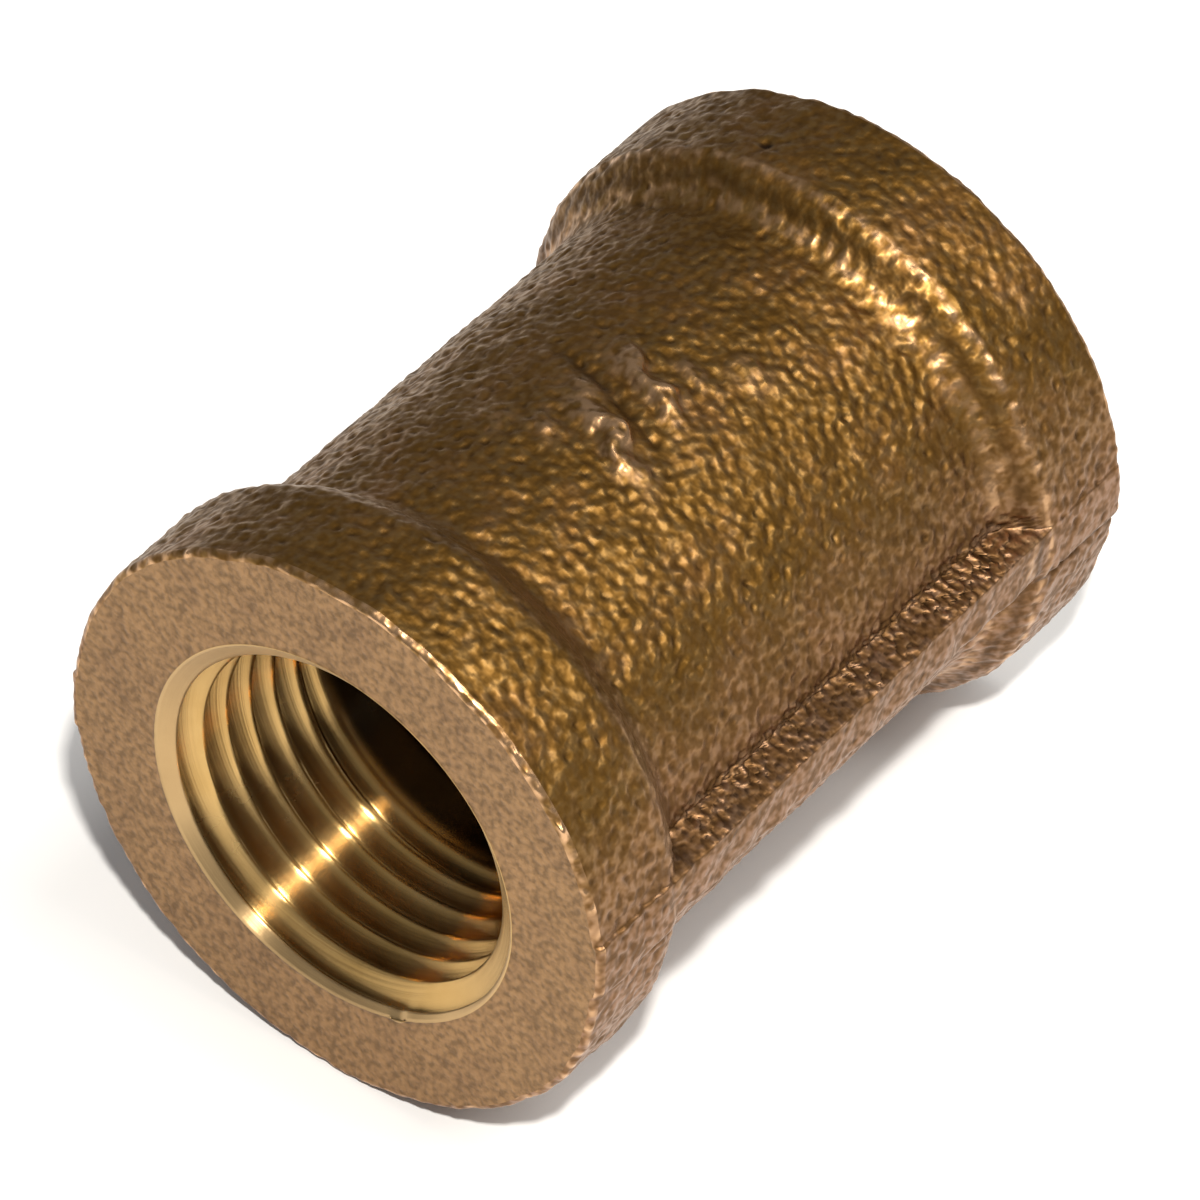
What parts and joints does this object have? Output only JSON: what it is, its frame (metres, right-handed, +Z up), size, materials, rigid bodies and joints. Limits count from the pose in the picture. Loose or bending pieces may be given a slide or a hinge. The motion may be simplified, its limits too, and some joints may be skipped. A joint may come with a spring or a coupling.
{
  "type": "reducing coupling",
  "caption": "Straight cast brass reducing coupling with a raised band at each end, a casting rib on each side and a tapered female pipe thread in each end.",
  "frame": {"origin": "middle of the pipe axis, halfway between the two end faces", "axes": "+X along the pipe axis towards the small end; +Z up, through the foundry pad; +Y through one casting rib. The fitting lies on its side, as it does in the picture"},
  "size_m": [0.034, 0.0256, 0.0256],
  "materials": {
    "cast_brass": "sand-cast skin outside, machined end faces and threads"
  },
  "bodies": {
    "root": {"coupling_body": "cast_brass"}
  },
  "joints": []
}
